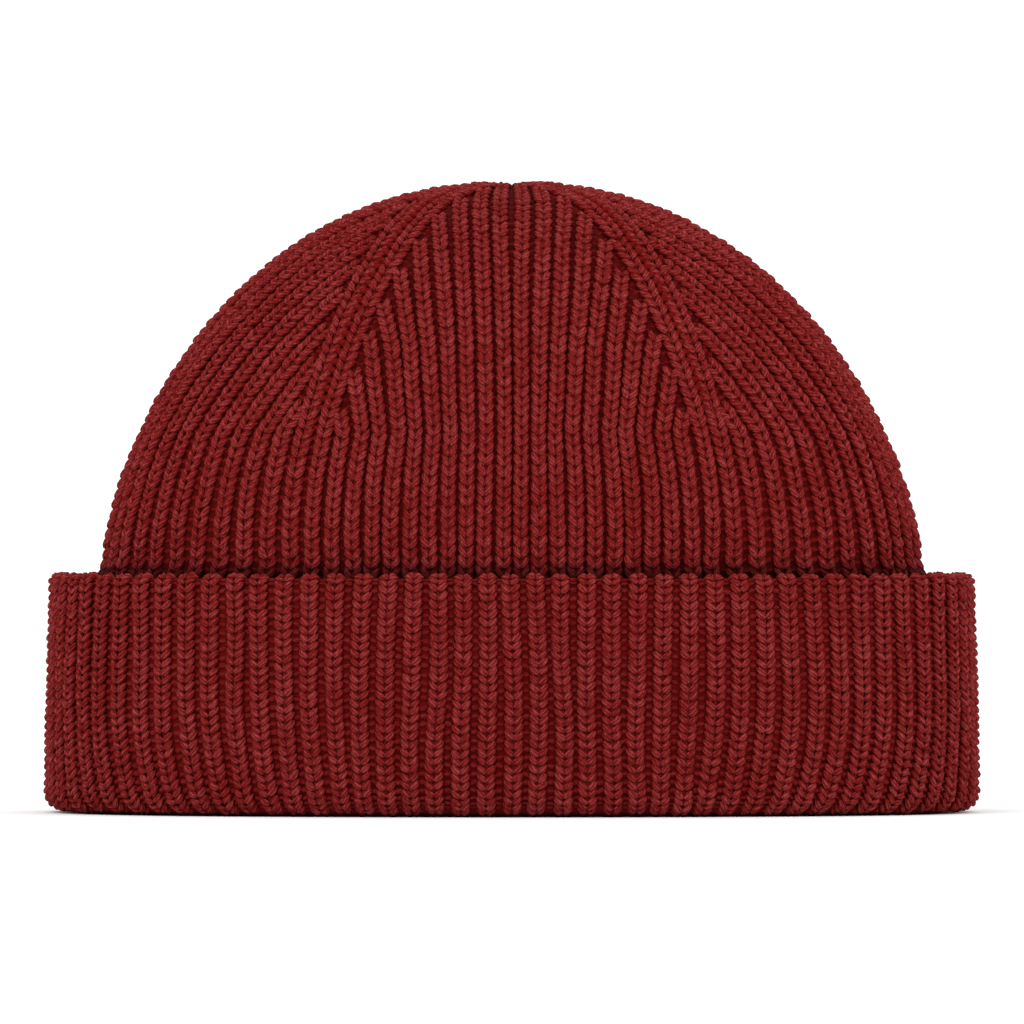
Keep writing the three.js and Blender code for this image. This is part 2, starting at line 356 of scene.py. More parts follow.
def oval_ruler(half_width, half_depth):
    """Turns a share of an oval's girth, from the front middle, into its angle."""
    angles = np.linspace(0, 2 * math.pi, OVAL_SAMPLES)
    x, y = oval_point(half_width, half_depth, angles)
    lengths = np.concatenate([[0], np.cumsum(np.hypot(np.diff(x), np.diff(y)))])

    def angle_at(share):
        turns = np.floor(share)
        inside = np.interp(share - turns, lengths / lengths[-1], angles)
        return inside + 2 * math.pi * turns

    return angle_at


crown_angle = oval_ruler(CROWN_HALF_WIDTH, CROWN_HALF_DEPTH)
cuff_angle = oval_ruler(CUFF_HALF_WIDTH, CUFF_HALF_DEPTH)


def unit(vectors):
    """The directions of vectors."""
    return vectors / np.maximum(np.linalg.norm(vectors, axis=-1, keepdims=True), SHORTEST)


def length_along(points):
    """The length of a line up to each of its points."""
    return np.concatenate([[0], np.cumsum(np.linalg.norm(np.diff(points, axis=0), axis=1))])


def crown_point(level, share):
    """A point over the rib crests of the crown. A level from 0 to 1 is the dome's turn, and from
    -1 to 0 it climbs the wall inside the cuff."""
    angle = crown_angle(share)
    turn = np.clip(level, 0, 1) * math.pi / 2
    climb = 1 + np.clip(level, -1, 0)
    flare = np.interp(climb, WALL_LEVELS["climb"], WALL_LEVELS["flare"])
    closing = np.maximum(np.cos(turn), 0)
    half_width = CROWN_HALF_WIDTH * closing**DOME_WIDTH_POWER
    half_depth = CROWN_HALF_DEPTH * closing**DOME_DEPTH_POWER
    half_width = half_width + flare * (TURN_HALF_WIDTH - CROWN_HALF_WIDTH)
    half_depth = half_depth + flare * (TURN_HALF_DEPTH - CROWN_HALF_DEPTH)
    x, y = oval_point(half_width, half_depth, angle)
    wall = CROWN_FOOT + (DOME_START - CROWN_FOOT) * climb
    dome = (CAP_HEIGHT - DOME_START) * np.sin(turn) ** DOME_HEIGHT_POWER
    return np.stack([x, y, wall + dome], axis=-1)


def crown_normal(level, share):
    """The outward direction there, from small steps up the crown and round it."""
    climb = 0.004
    aside = climb / 6
    up = crown_point(np.minimum(level + climb, 1), share) - crown_point(level - climb, share)
    round_it = crown_point(level, share + aside) - crown_point(level, share - aside)
    return unit(np.cross(round_it, up))


def spread_ribs(position, spread):
    """Moves places between -1 and 1, which are the ends of a panel, closer to its middle."""
    return position * (1 - spread) + spread * position**3


def panel_share(panel, level, position):
    """How far round the crown a rib of a panel lies, from its place counted in ribs from the
    panel's middle."""
    mitre = np.interp(level, DOME_LEVELS["turn"], DOME_LEVELS["mitre"])
    half_span = mitre if panel["kind"] == "front" else 0.25 - mitre
    return panel["middle"] + half_span * spread_ribs(position / open_half(panel, level), panel["spread"])


def open_half(panel, level):
    """Half the ribs that a panel still has at a level."""
    return np.interp(level, DOME_LEVELS["turn"], DOME_LEVELS[panel["kind"]]) * panel["ribs"] / 2


PANELS = [
    {"name": "front", "kind": "front", "middle": 0.0, "ribs": FRONT_RIBS, "spread": FRONT_SPREAD},
    {"name": "left", "kind": "side", "middle": 0.25, "ribs": SIDE_RIBS, "spread": SIDE_SPREAD},
    {"name": "back", "kind": "front", "middle": 0.5, "ribs": FRONT_RIBS, "spread": FRONT_SPREAD},
    {"name": "right", "kind": "side", "middle": 0.75, "ribs": SIDE_RIBS, "spread": SIDE_SPREAD},
]


def crown_path(panel, position, border):
    """The line of a rib or a furrow up the crown: points, outward directions, pitch, and how far
    the ribs have begun to run out, from 0 to 1. A border line follows the mitre to the top."""
    wall = np.linspace(LOWEST_SHOWN, 0, WALL_SAMPLES)[:-1]
    level = np.concatenate([wall, np.linspace(0, DOME_TOP, DOME_SAMPLES)])
    half = open_half(panel, level)
    side = np.sign(position)
    if border:
        reach = half - (panel["ribs"] / 2 - abs(position))
    else:
        reach = np.full_like(level, abs(position))
        kept = reach <= half - 1 + RUN_OUT
        stop = len(level) if kept.all() else int(np.argmin(kept))
        level, reach = level[:stop], reach[:stop]
    share = panel_share(panel, level, side * reach)
    points = crown_point(level, share)
    outer = panel_share(panel, level, side * reach + 0.5)
    inner = panel_share(panel, level, side * reach - 0.5)
    step = crown_point(level, outer) - crown_point(level, inner)
    pitch = np.linalg.norm(np.cross(step, unit(np.gradient(points, axis=0))), axis=-1)
    running_out = np.clip((level - RUN_OUT_STARTS) / RUN_OUT_SETTLES, 0, 1)
    return points, crown_normal(level, share), pitch, running_out


def cuff_profile():
    """The crest line of the cuff's section, from under the foot, up the outer face and over the
    upper edge: inset from the outermost crests, and height."""
    corner = 4.5 * MM
    edge = KNIT_THICKNESS / 2
    foot_lift = 0.35 * MM
    edge_foot = CUFF_HEIGHT - edge
    quarter = np.linspace(0, math.pi / 2, TURN_POINTS)
    half_turn = np.linspace(0, math.pi, EDGE_POINTS)
    climbs = np.linspace(0.04, 0.96, FACE_POINTS)
    foot = [(9 * MM, foot_lift), (7 * MM, foot_lift)]
    turn = [(corner * (1 - math.sin(a)), foot_lift + corner * (1 - math.cos(a))) for a in quarter]
    face = [(FACE_LEAN * climb**1.5, corner + (edge_foot - corner) * climb) for climb in climbs]
    over = [(FACE_LEAN + edge * (1 - math.cos(a)), edge_foot + edge * math.sin(a)) for a in half_turn]
    behind = [(FACE_LEAN + 2 * edge, edge_foot - drop) for drop in (1.5 * MM, 4 * MM, 8 * MM)]
    return np.array(foot + turn + face + over + behind)


def cuff_path(share, wander):
    """The line of a rib or furrow round the cuff's section at a share of its girth. wander moves it
    aside, as a share of the girth, at each height."""
    profile = cuff_profile()
    steps = length_along(profile)
    along = np.linspace(0, steps[-1], CUFF_SAMPLES)
    inset = np.interp(along, steps, profile[:, 0])
    height = np.interp(along, steps, profile[:, 1])
    angle = cuff_angle(share + wander(height))
    normal_x, normal_y = oval_normal(CUFF_HALF_WIDTH, CUFF_HALF_DEPTH, angle)
    x, y = oval_point(CUFF_HALF_WIDTH, CUFF_HALF_DEPTH, angle)
    points = np.stack([x - normal_x * inset, y - normal_y * inset, height], axis=-1)
    slope_in = np.gradient(inset, along)
    slope_up = np.gradient(height, along)
    normals = unit(np.stack([normal_x * slope_up, normal_y * slope_up, slope_in], axis=-1))
    return points, normals


def station_path(points, normals, widths):
    """A line that stitches can be set along: its stations by length, with the direction across."""
    along = length_along(points)
    tangents = unit(np.gradient(points, along, axis=0))
    across = unit(np.cross(tangents, normals))
    lifted = unit(np.cross(across, tangents))
    return {"along": along, "points": points, "across": across, "out": lifted, "half": widths / 2}


def at_station(path, key, place):
    """What a path has under a key at places along it."""
    values = path[key]
    if values.ndim == 1:
        return np.interp(place, path["along"], values)
    return np.stack([np.interp(place, path["along"], values[:, axis]) for axis in range(3)], axis=-1)


def template_from_sphere(name, sides, rings, shape, twist=1.0):
    """A small closed form made from a sphere: shape gives each of its vertices a new place from
    its share of the way between the poles and its direction round. twist is how far its plies wind."""
    bpy.ops.object.select_all(action="DESELECT")
    bpy.ops.mesh.primitive_uv_sphere_add(segments=sides, ring_count=rings, radius=1.0)
    model = bpy.context.object
    model.name = name
    mesh = model.data
    corners = np.array([v.co for v in mesh.vertices])
    share = np.arccos(np.clip(-corners[:, 2], -1, 1)) / math.pi
    round_it = unit(corners[:, :2] + POLE_NUDGE)
    verts = shape(share, round_it)
    faces = [list(p.vertices) for p in mesh.polygons]
    uv = np.array([d.uv for d in mesh.uv_layers[0].data]) * (1, twist)
    bpy.data.objects.remove(model)
    return {"verts": verts, "faces": faces, "uv": uv}


def leg_shape(leg):
    """The shape of a leg. Its vertices hold the place of the leg's middle line across, in half rib
    widths, the way aside from it in the yarn's measure, the place along in stitch heights, and
    the way out in the yarn's measure."""
    slope = np.gradient(np.array(leg["across"]) * leg["half_to_row"], leg["along"])

    def shape(share, round_it):
        steps = np.linspace(0, 1, len(leg["along"]))
        across, along, lift, girth = (
            np.interp(share, steps, leg[key]) for key in ("across", "along", "lift", "girth")
        )
        lean = np.arctan(np.interp(share, steps, slope))
        aside = leg["radius"] * girth * round_it[:, 0]
        x = aside * np.cos(lean)
        y = along - aside * np.sin(lean)
        z = lift + leg["radius"] * girth * round_it[:, 1]
        return np.stack([across, x, y, z], axis=-1)

    return shape


def leg_template(name, leg):
    return template_from_sphere(name, LEG_SIDES, LEG_RINGS, leg_shape(leg), leg["twist"])


def loop_shape(share, round_it):
    """A loop across a furrow: place across in half its width, along and out in stitch heights."""
    place = np.cos(share * math.pi)
    girth = np.sin(share * math.pi) ** LOOP_BLUNTNESS
    y = LOOP_GIRTH * girth * round_it[:, 0]
    z = LOOP_GIRTH * girth * round_it[:, 1] - LOOP_DIP * place**2
    return np.stack([-place, y, z], axis=-1)


def core_shape(share, round_it):
    """A closed tube: share of the way along, across and out."""
    return np.stack([share, round_it[:, 0], round_it[:, 1]], axis=-1)


class JoinedMesh:
    """Copies of small forms, gathered into one mesh."""

    def __init__(self):
        self.verts = []
        self.faces = {3: [], 4: []}
        self.uv = {3: [], 4: []}
        self.tone = []
        self.depth = []
        self.count = 0

    def add(self, template, places, tones, depths, flip=False):
        """places holds each copy's vertices, copies by vertices by three, and depths how deep each
        of them lies, from 0 on the crest to 1, which the yarn's material turns into painted shade."""
        copies, size = places.shape[:2]
        self.verts.append(places.reshape(-1, 3))
        self.tone.append(np.repeat(tones, size))
        self.depth.append(np.clip(depths, 0, 1).ravel())
        offsets = self.count + np.arange(copies) * size
        corner = 0
        shift = random.uniform(0, COPY_SHIFT, (copies, 1, 2))
        for face in template["faces"]:
            sides = len(face)
            order = np.arange(sides)[::-1] if flip else np.arange(sides)
            corners = np.array(face)[order]
            uv = template["uv"][corner : corner + sides][order]
            self.faces[sides].append(offsets[:, None] + corners)
            self.uv[sides].append(np.broadcast_to(uv, (copies, sides, 2)) + shift)
            corner += sides
        self.count += copies * size

    def build(self, name):
        verts = np.concatenate(self.verts).astype(np.float32)
        faces = {n: np.concatenate(f) for n, f in self.faces.items() if f}
        uv = {n: np.concatenate(u) for n, u in self.uv.items() if u}
        sizes = np.concatenate([np.full(len(f), n) for n, f in faces.items()])
        corners = np.concatenate([f.ravel() for f in faces.values()])
        corner_uv = np.concatenate([u.reshape(-1, 2) for u in uv.values()])
        mesh = bpy.data.meshes.new(name)
        mesh.vertices.add(len(verts))
        mesh.vertices.foreach_set("co", verts.ravel())
        mesh.loops.add(len(corners))
        mesh.loops.foreach_set("vertex_index", corners.astype(np.int32))
        mesh.polygons.add(len(sizes))
        starts = np.concatenate([[0], np.cumsum(sizes)[:-1]])
        mesh.polygons.foreach_set("loop_start", starts.astype(np.int32))
        mesh.polygons.foreach_set("use_smooth", np.ones(len(sizes), bool))
        mesh.update(calc_edges=True)
        layer = mesh.uv_layers.new(name="yarn")
        layer.uv.foreach_set("vector", corner_uv.astype(np.float32).ravel())
        for label, values in (("tone", self.tone), ("depth", self.depth)):
            attribute = mesh.attributes.new(label, "FLOAT", "POINT")
            attribute.data.foreach_set("value", np.concatenate(values).astype(np.float32))
        piece = bpy.data.objects.new(name, mesh)
        bpy.context.scene.collection.objects.link(piece)
        return piece


def set_stitches(joined, template, path, row, start):
    """Sets stitches along a path, both legs of each, a row apart."""
    length = path["along"][-1] - start
    count = int(round(length / row))
    pitch = length / (count + LAST_ROOM)
    seats = start + pitch * (np.arange(count) + random.normal(0, SEAT_STRAY, count))
    verts = template["verts"]
    girth = 1 + random.normal(0, GIRTH_STRAY, count)
    for flip in (False, True):
        side = -1 if flip else 1
        nudge = random.normal(0, NUDGE_STRAY, count)
        lift = random.normal(0, LIFT_STRAY, count)
        place = seats[:, None] + (verts[:, 2] + nudge[:, None]) * pitch
        base = at_station(path, "points", place)
        across = at_station(path, "across", place)
        out = at_station(path, "out", place)
        half = at_station(path, "half", place)
        yarn = np.minimum(half * YARN_TO_HALF, pitch * THICKEST) * girth[:, None]
        x = side * (verts[:, 0] * half + verts[:, 1] * yarn)
        lifted = verts[:, 3] * yarn + (lift[:, None] - STITCH_SINK) * pitch
        z = lifted - ROUNDING * verts[:, 0] ** 2 * half
        places = base + across * x[..., None] + out * z[..., None]
        joined.add(template, places, random.uniform(0, 1, count), -z / DEEPEST, flip)


def set_loops(joined, template, path, row, start, depth):
    """Sets the loops that cross a furrow, a row apart."""
    length = path["along"][-1] - start
    count = int(round(length / row)) - 1
    pitch = length / (count + 1)
    seats = start + pitch * (np.arange(count) + 0.5 + random.normal(0, LOOP_SEAT_STRAY, count))
    verts = template["verts"]
    tilt = random.normal(0, LOOP_TILT_STRAY, count)[:, None]
    place = seats[:, None] + (verts[:, 1] + tilt * verts[:, 0]) * pitch
    base = at_station(path, "points", place)
    across = at_station(path, "across", place)
    out = at_station(path, "out", place)
    half = at_station(path, "half", place)
    lift = random.normal(0, LOOP_LIFT_STRAY, count)[:, None]
    z = verts[:, 2] * pitch - depth + lift
    places = base + across * (verts[:, 0] * half)[..., None] + out * z[..., None]
    joined.add(template, places, random.uniform(0, 1, count), -z / DEEPEST)


def set_core(joined, template, path, depth):
    """Lays the core along a rib, which closes the notches between its stitches."""
    verts = template["verts"]
    place = verts[:, 0] * path["along"][-1]
    half = at_station(path, "half", place)
    thin = np.clip(np.sin(verts[:, 0] * math.pi) * CORE_TAPER, CORE_TIP, 1)
    x = verts[:, 1] * half * CORE_SHARE * thin
    z = verts[:, 2] * CORE_HEIGHT * thin - depth - ROUNDING * (x / half) ** 2 * half
    base = at_station(path, "points", place)
    across = at_station(path, "across", place)
    out = at_station(path, "out", place)
    places = base + across * x[:, None] + out * z[:, None]
    joined.add(template, places[None], random.uniform(0, 1, 1), -z[None] / DEEPEST)


def wobble(amount, share):
    """A slow random drift along a rib, at shares of its length."""
    count = len(WAVE_FALL)
    phases = random.uniform(0, 2 * math.pi, count)
    sizes = random.normal(0, amount, count) / np.array(WAVE_FALL)
    drift = 0
    for wave, (size, phase) in enumerate(zip(sizes, phases), start=1):
        drift = drift + size * np.sin(2 * math.pi * wave * share * WAVE_PACE + phase)
    return drift


def stray(points, normals):
    """A path that strays a little from its line, as a worn rib does."""
    share = np.linspace(0, 1, len(points))
    across = unit(np.cross(np.gradient(points, axis=0), normals))
    moved = points + normals * wobble(RIB_SWAY, share)[:, None]
    return moved + across * wobble(RIB_WANDER, share)[:, None]


def tuck_in(points, normals):
    """Sinks the top end of a path under the rib that it ends against."""
    steps = np.linalg.norm(np.diff(points, axis=0), axis=1)
    to_end = np.concatenate([np.cumsum(steps[::-1])[::-1], [0]])
    sink = TUCK * np.clip(1 - to_end / TUCK_LENGTH, 0, 1) ** 2
    return points - normals * sink[:, None]


def crown_ribs(leg, core):
    """The stitches of the crown, one piece for each panel."""
    pieces = []
    for panel in PANELS:
        joined = JoinedMesh()
        kind = panel["kind"]
        half = panel["ribs"] / 2
        for index in range(panel["ribs"]):
            position = index - half + 0.5
            border = half - abs(position) < BORDER_RIB
            points, normals, pitch, running_out = crown_path(panel, position, border)
            widths = np.minimum(pitch * CROWN_RIB_SHARE[kind], WIDEST_RIB[kind])
            if border:
                widths += (pitch * BORDER_RIB_SHARE - widths) * running_out
            widths = widths * (1 + random.normal(0, CROWN_WIDTH_STRAY))
            points = stray(points, normals)
            if not border:
                points = tuck_in(points, normals)
            path = station_path(points, normals, widths)
            set_stitches(joined, leg, path, CROWN_ROW, CROWN_FIRST_ROW)
            set_core(joined, core, path, CROWN_CORE_DEPTH)
        pieces.append(joined.build("crown_ribs_" + panel["name"]))
    return pieces


def crown_loops(loop):
    """The loops in the furrows of the crown."""
    joined = JoinedMesh()
    for panel in PANELS:
        half = int(panel["ribs"] / 2)
        for position in range(-half + 1, half + 1):
            border = half - abs(position) < BORDER_FURROW
            points, normals, pitch, running_out = crown_path(panel, position, border)
            depth = CROWN_LOOP_DEPTH[panel["kind"]]
            if position == half:
                points = points + normals * ((depth - MITRE_LOOP_DEPTH) * running_out)[:, None]
            path = station_path(points, normals, pitch * CROWN_LOOP_SHARE)
            set_loops(joined, loop, path, CROWN_ROW, CROWN_FIRST_ROW, depth)
    return joined.build("crown_furrow_loops")


def cuff_wander(share):
    """How far aside a rib of the cuff stands at each height: near the turn the ribs lean towards
    the middle of the front or the back."""
    phase = random.normal(0, DRIFT_STRAY)
    aside = math.sin(2 * math.pi * share)

    def wander(height):
        low = np.clip(1 - height / (LEAN_HEIGHT * CUFF_HEIGHT), 0, 1)
        lean = -LEAN * low**2 * math.sin(4 * math.pi * share) * aside**2
        slow = SLOW_DRIFT * np.sin(height / CUFF_HEIGHT * DRIFT_CLIMB + phase + DRIFT_ROUND * aside)
        return lean + slow

    return wander


def cuff_share(index):
    """How far round the cuff a rib stands: they are a little closer in front and behind, and more
    stretched at the sides."""
    share = index / RIB_COUNT
    return share - CUFF_SPREAD * np.sin(4 * math.pi * share) / (4 * math.pi)


def cuff_ribs(leg, core, loop):
    """The stitches of the cuff, front and back, and the loops between them."""
    halves = {"front": JoinedMesh(), "back": JoinedMesh()}
    loops = JoinedMesh()
    wanders = [cuff_wander(cuff_share(index)) for index in range(RIB_COUNT)]
    angles = np.linspace(0, 2 * math.pi, OVAL_SAMPLES)
    x, y = oval_point(CUFF_HALF_WIDTH, CUFF_HALF_DEPTH, angles)
    girth = np.hypot(np.diff(x), np.diff(y)).sum()
    for index in range(RIB_COUNT):
        share = cuff_share(index)
        pitch = girth * (cuff_share(index + 0.5) - cuff_share(index - 0.5))
        points, normals = cuff_path(share, wanders[index])
        points = stray(points, normals)
        width = pitch * CUFF_RIB_SHARE * (1 + random.normal(0, CUFF_WIDTH_STRAY))
        path = station_path(points, normals, np.full(len(points), width))
        half = halves["front" if math.cos(2 * math.pi * share) > 0 else "back"]
        set_stitches(half, leg, path, CUFF_ROW, CUFF_FIRST_ROW)
        set_core(half, core, path, CUFF_CORE_DEPTH)
        points, normals = cuff_path(cuff_share(index + 0.5), wanders[index])
        path = station_path(points, normals, np.full(len(points), pitch * CUFF_LOOP_SHARE))
        set_loops(loops, loop, path, CUFF_ROW, CUFF_FIRST_ROW, CUFF_LOOP_DEPTH)
    pieces = [joined.build("cuff_ribs_" + name) for name, joined in halves.items()]
    return [*pieces, loops.build("cuff_furrow_loops")]


def inner_ribs(share):
    """The ribs of a ground skin's inner face, from 0 in a furrow to 1 on a crest."""
    return 0.5 + 0.5 * np.cos(2 * math.pi * share * RIB_COUNT)


def skin_from_grid(name, rows, place):
    """A closed skin made from a flat grid: place gives each vertex its point, from its share of
    the way round the cap and its share of the way round the section."""
    bpy.ops.object.select_all(action="DESELECT")
    bpy.ops.mesh.primitive_grid_add(x_subdivisions=GROUND_COLUMNS, y_subdivisions=rows, size=2)
    piece = bpy.context.object
    piece.name = name
    mesh = piece.data
    mesh.name = name
    flat = np.empty(len(mesh.vertices) * 3, np.float32)
    mesh.vertices.foreach_get("co", flat)
    grid = flat.reshape(-1, 3)
    around = (grid[:, 0] + 1) / 2
    section = (grid[:, 1] + 1) / 2
    points = place(around, section)
    corners = np.empty(len(mesh.loops), np.int32)
    mesh.loops.foreach_get("vertex_index", corners)
    corner_uv = np.stack([around[corners], section[corners]], axis=-1)
    layer = mesh.uv_layers[0]
    layer.name = "yarn"
    layer.uv.foreach_set("vector", corner_uv.astype(np.float32).ravel())
    mesh.vertices.foreach_set("co", points.astype(np.float32).ravel())
    mesh.update()
    bpy.ops.object.mode_set(mode="EDIT")
    bpy.ops.mesh.select_all(action="SELECT")
    bpy.ops.mesh.remove_doubles(threshold=MERGE_GAP)
    bpy.ops.mesh.normals_make_consistent(inside=False)
    bpy.ops.mesh.faces_shade_smooth()
    bpy.ops.object.mode_set(mode="OBJECT")
    return piece


def crown_ground():
    """The fabric behind the crown's ribs: its outer skin lies under the stitches, and its inner
    face has the ribs of the inside."""
    inner_turns = np.linspace(1, 0, INNER_DOME_ROWS)
    inner_wall = np.linspace(0, -1, WALL_ROWS)[1:]
    outer_wall = np.linspace(-1, 0, WALL_ROWS)
    outer_turns = np.linspace(0, 1, OUTER_DOME_ROWS)[1:]
    levels = np.concatenate([inner_turns, inner_wall, outer_wall, outer_turns])
    inner_count = len(inner_turns) + len(inner_wall)

    def place(around, section):
        row = np.rint(section * (len(levels) - 1)).astype(int)
        level = levels[row]
        fade = np.clip((1 - level) / INNER_FADE, 0, 1)
        inner_depth = KNIT_THICKNESS - INNER_RELIEF * inner_ribs(around) * fade
        depth = np.where(row < inner_count, inner_depth, CROWN_GROUND_DEPTH)
        flat_x, flat_y = oval_normal(CROWN_HALF_WIDTH, CROWN_HALF_DEPTH, crown_angle(around))
        flat = np.stack([flat_x, flat_y, np.zeros_like(flat_x)], axis=-1)
        sloped = crown_normal(np.clip(level, 0, DOME_TOP), around)
        upward = np.clip((level - DOME_TOP) / (1 - DOME_TOP), 0, 1)[:, None]
        normal = np.where(level[:, None] <= 0, flat, sloped)
        normal = unit(normal * (1 - upward) + np.array([0, 0, 1.0]) * upward)
        return crown_point(level, around) - normal * depth[:, None]

    return skin_from_grid("crown_ground", len(levels) - 1, place)


def cuff_ground():
    """The fabric behind the cuff's ribs, from the floor of the turn up the outer layer. Its inner
    face has ribs between two points of the section."""
    seat = (CUFF_HALF_WIDTH - TURN_HALF_WIDTH) + KNIT_THICKNESS
    lean = FACE_LEAN
    under = 1.3 * MM
    ribs_from = 9
    ribs_to = 13
    section_points = np.array([
        (seat - 0.5 * MM, 0.3 * MM),
        (6.0 * MM, 0.5 * MM),
        (4.2 * MM, 1.2 * MM),
        (2.6 * MM, 3.0 * MM),
        (CUFF_GROUND_DEPTH, 6.0 * MM),
        (CUFF_GROUND_DEPTH, 20 * MM),
        (CUFF_GROUND_DEPTH + 0.3 * lean, 38 * MM),
        (CUFF_GROUND_DEPTH + 0.8 * lean, CUFF_HEIGHT - 3.6 * MM),
        (CUFF_GROUND_DEPTH + lean + 0.3 * MM, CUFF_HEIGHT - under - 0.4 * MM),
        (KNIT_THICKNESS + lean - 1.4 * MM, CUFF_HEIGHT - under - 0.4 * MM),
        (KNIT_THICKNESS + lean - 0.4 * MM, CUFF_HEIGHT - 3.6 * MM),
        (KNIT_THICKNESS + lean * 0.6, 38 * MM),
        (KNIT_THICKNESS, 20 * MM),
        (KNIT_THICKNESS, 7.5 * MM),
        (KNIT_THICKNESS + 1.2 * MM, 5.6 * MM),
        (KNIT_THICKNESS + 2.8 * MM, 4.8 * MM),
        (seat, 4.8 * MM),
        (seat + 0.4 * MM, 2.4 * MM),
        (seat - 0.5 * MM, 0.3 * MM),
    ])
    steps = length_along(section_points)
    inner_start = steps[ribs_from] / steps[-1]
    inner_stop = steps[ribs_to] / steps[-1]

    def place(around, section):
        along = section * steps[-1]
        inset = np.interp(along, steps, section_points[:, 0])
        height = np.interp(along, steps, section_points[:, 1])
        behind = (section > inner_start) & (section < inner_stop)
        inset = inset - np.where(behind, INNER_RELIEF * inner_ribs(around), 0)
        angle = cuff_angle(around)
        x, y = oval_point(CUFF_HALF_WIDTH, CUFF_HALF_DEPTH, angle)
        normal_x, normal_y = oval_normal(CUFF_HALF_WIDTH, CUFF_HALF_DEPTH, angle)
        return np.stack([x - normal_x * inset, y - normal_y * inset, height], axis=-1)

    return skin_from_grid("cuff_ground", CUFF_GROUND_ROWS, place)


class Nodes:
    """Short calls for building a material's nodes."""

    def __init__(self, name):
        self.material = bpy.data.materials.new(name)
        self.material.use_nodes = True
        self.tree = self.material.node_tree
        self.shader = self.tree.nodes["Principled BSDF"]

    def add(self, kind, **settings):
        node = self.tree.nodes.new(kind)
        for key, value in settings.items():
            setattr(node, key, value)
        return node

    def link(self, source, target):
        self.tree.links.new(source, target)

    def fed(self, node, vector, values):
        """Gives a node its vector and the values of its inputs."""
        for key, value in values.items():
            node.inputs[key].default_value = value
        self.link(vector, node.inputs["Vector"])
        return node

    def noise(self, vector, values):
        return self.fed(self.add("ShaderNodeTexNoise"), vector, values).outputs["Fac"]

    def waves(self, vector, direction, values):
        node = self.add("ShaderNodeTexWave", wave_type="BANDS", bands_direction=direction)
        return self.fed(node, vector, values).outputs["Fac"]

    def stretched(self, vector, values):
        return self.fed(self.add("ShaderNodeMapping"), vector, values).outputs["Vector"]

    def add_share(self, total, value, share):
        """Adds a share of a value to a total."""
        return self.math("ADD", total, self.math("MULTIPLY", value, share))

    def math(self, operation, first, second):
        node = self.add("ShaderNodeMath", operation=operation)
        for socket, value in zip(node.inputs, (first, second)):
            if isinstance(value, (int, float)):
                socket.default_value = value
            else:
                self.link(value, socket)
        return node.outputs[0]

    def ramp(self, value, stops):
        node = self.add("ShaderNodeValToRGB")
        elements = node.color_ramp.elements
        while len(elements) < len(stops):
            elements.new(0.5)
        for element, (place, colour) in zip(elements, stops):
            element.position = place
            element.color = (*colour, 1)
        self.link(value, node.inputs["Fac"])
        return node.outputs["Color"]

    def bump(self, height, distance):
        node = self.add("ShaderNodeBump")
        node.inputs["Strength"].default_value = BUMP_STRENGTH
        node.inputs["Distance"].default_value = distance
        self.link(height, node.inputs["Height"])
        self.link(node.outputs["Normal"], self.shader.inputs["Normal"])

    def finish(self, shine):
        """Makes the surface matt, with a little shine, and gives its material."""
        self.shader.inputs["Roughness"].default_value = MATT
        self.shader.inputs["Specular IOR Level"].default_value = shine
        return self.material


def shade_over_cuff(nodes, colour):
    """Darkens the crown in the narrow gap at the cuff's edge."""
    place = nodes.add("ShaderNodeTexCoord").outputs["Object"]
    height = nodes.add("ShaderNodeSeparateXYZ")
    nodes.link(place, height.inputs[0])
    climb = nodes.math("DIVIDE", nodes.math("SUBTRACT", height.outputs["Z"], CUFF_HEIGHT), SHADE_HEIGHT)
    light = nodes.ramp(climb, SHADE_STOPS)
    shaded = nodes.add("ShaderNodeMix", data_type="RGBA", blend_type="MULTIPLY")
    shaded.inputs["Factor"].default_value = 1
    nodes.link(colour, shaded.inputs["A"])
    nodes.link(light, shaded.inputs["B"])
    return shaded.outputs["Result"]


